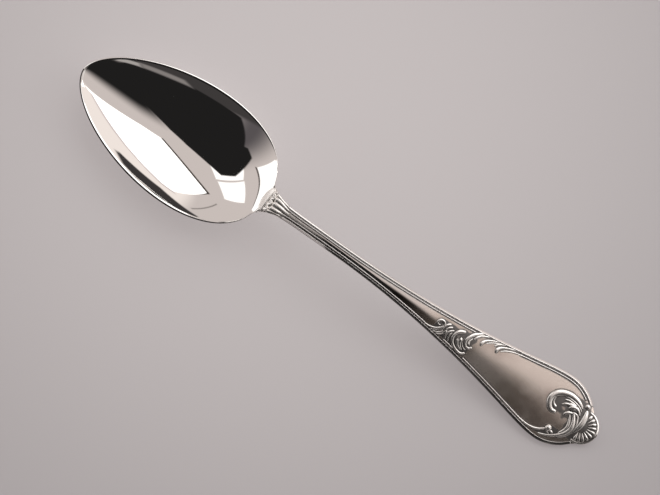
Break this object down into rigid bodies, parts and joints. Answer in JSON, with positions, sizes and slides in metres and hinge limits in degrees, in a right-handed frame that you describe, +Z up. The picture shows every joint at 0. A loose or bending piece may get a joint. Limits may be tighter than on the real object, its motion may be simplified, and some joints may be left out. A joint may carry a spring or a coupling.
{
  "type": "tablespoon",
  "caption": "Silver tablespoon with a deep pointed oval bowl, an arched stem and a flared handle with threaded edges, scroll sprays and a shell end.",
  "frame": {"origin": "on the table plane under the middle of the spoon's bounding box", "axes": "+X along the spoon from the bowl's tip to the handle's end, +Y across it, +Z up out of the hollow of the bowl"},
  "size_m": [0.206, 0.0416, 0.0171],
  "materials": {
    "polished_silver": "polished",
    "satin_silver": "satin",
    "relief_silver": "satin"
  },
  "bodies": {
    "root": {"bowl": "polished_silver", "handle": "satin_silver", "near_outer_thread": "relief_silver", "far_outer_thread": "relief_silver", "near_inner_thread": "relief_silver", "far_inner_thread": "relief_silver", "heel_leaf": "relief_silver", "shoulder_volute": "relief_silver", "shoulder_fan": "relief_silver", "shoulder_c_scroll": "relief_silver", "shoulder_counter_scroll": "relief_silver", "edge_fronds": "relief_silver", "plume_stem": "relief_silver", "plume_leaves": "relief_silver", "plume_scroll": "relief_silver", "thread_bud": "relief_silver", "shell_ribs": "relief_silver", "shell_lip": "relief_silver", "shell_rim": "relief_silver", "shell_bead": "relief_silver"}
  },
  "joints": []
}
